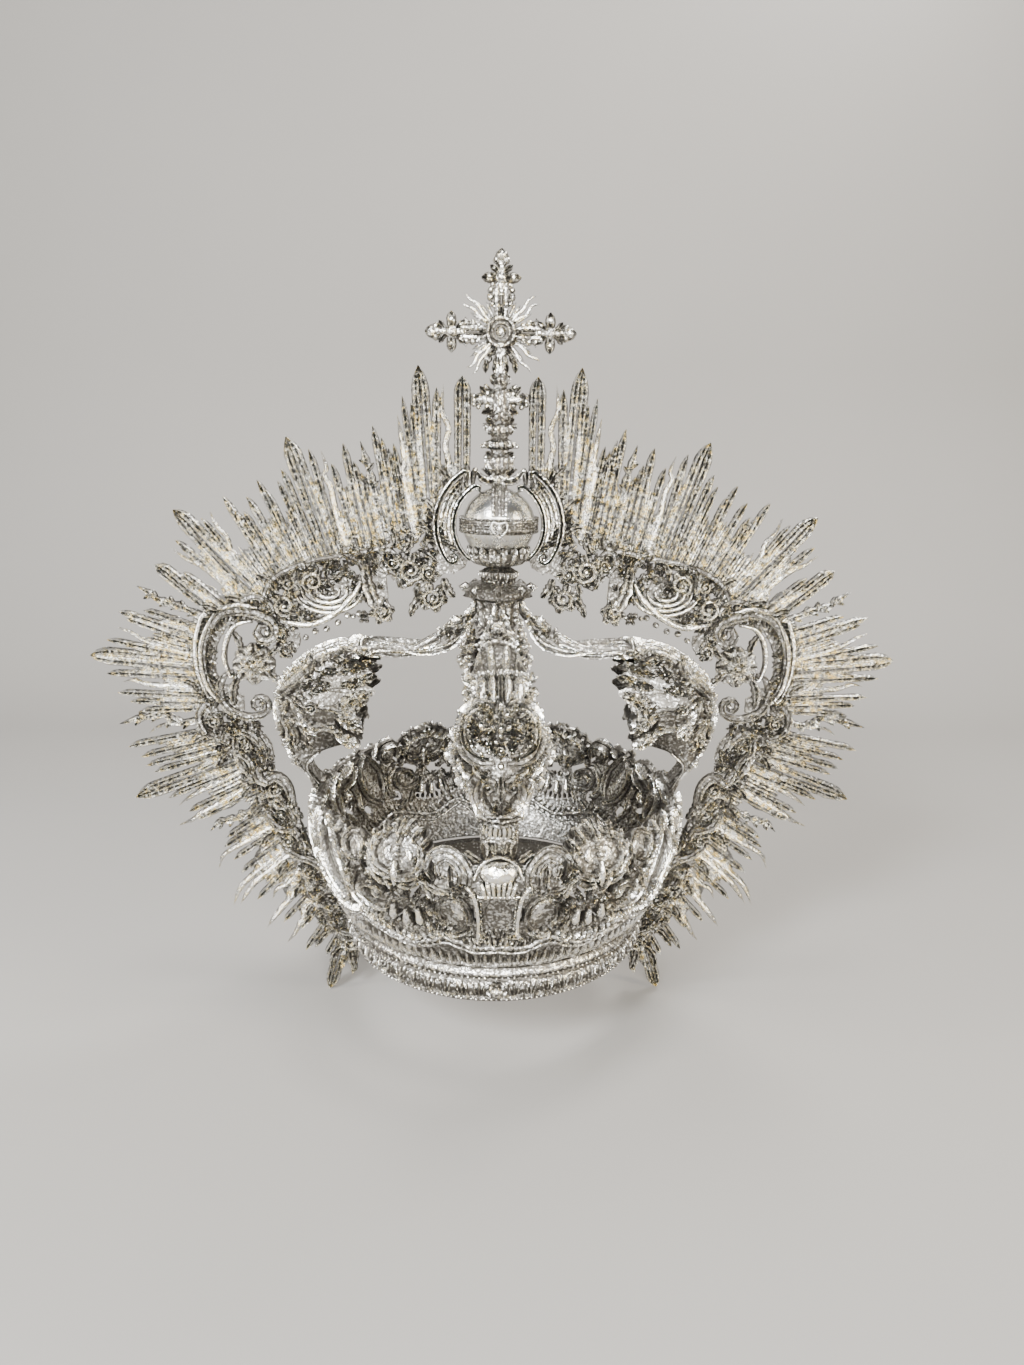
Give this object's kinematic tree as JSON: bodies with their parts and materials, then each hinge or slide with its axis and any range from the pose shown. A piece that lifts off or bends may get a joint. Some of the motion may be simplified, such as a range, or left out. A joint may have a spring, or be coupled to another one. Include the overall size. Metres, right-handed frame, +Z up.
{
  "type": "imperial crown",
  "caption": "Closed imperial crown of silver with a flared basket, arches, orb and cross, framed by a flat halo of rays, for a life-size statue.",
  "frame": {"origin": "centre of the circle of the ring's lower rim, where the crown sits on a head", "axes": "+Z up the crown's axis to the cross, +X to the right as seen from the front, -Y to the front"},
  "size_m": [0.5, 0.281, 0.4658],
  "materials": {
    "chased_silver": "chased and embossed silver, bright on the high points and dark in the recesses",
    "polished_silver": "smooth polished silver with light tarnish",
    "ray_silver": "ridged silver rays and openwork, slightly warm"
  },
  "bodies": {
    "root": {"base_ring": "chased_silver", "basket": "chased_silver", "arch_front": "chased_silver", "arch_right": "chased_silver", "arch_back": "chased_silver", "arch_left": "chased_silver", "hub": "chased_silver", "orb_cup": "chased_silver", "orb_equator_band": "chased_silver", "orb_meridian_band": "chased_silver", "crescent_collar": "chased_silver", "stem": "chased_silver", "orb": "polished_silver", "orb_heart": "polished_silver", "cross_boss": "polished_silver", "halo_left": "ray_silver", "halo_right": "ray_silver", "cross": "ray_silver", "cross_sunburst": "ray_silver"}
  },
  "joints": []
}
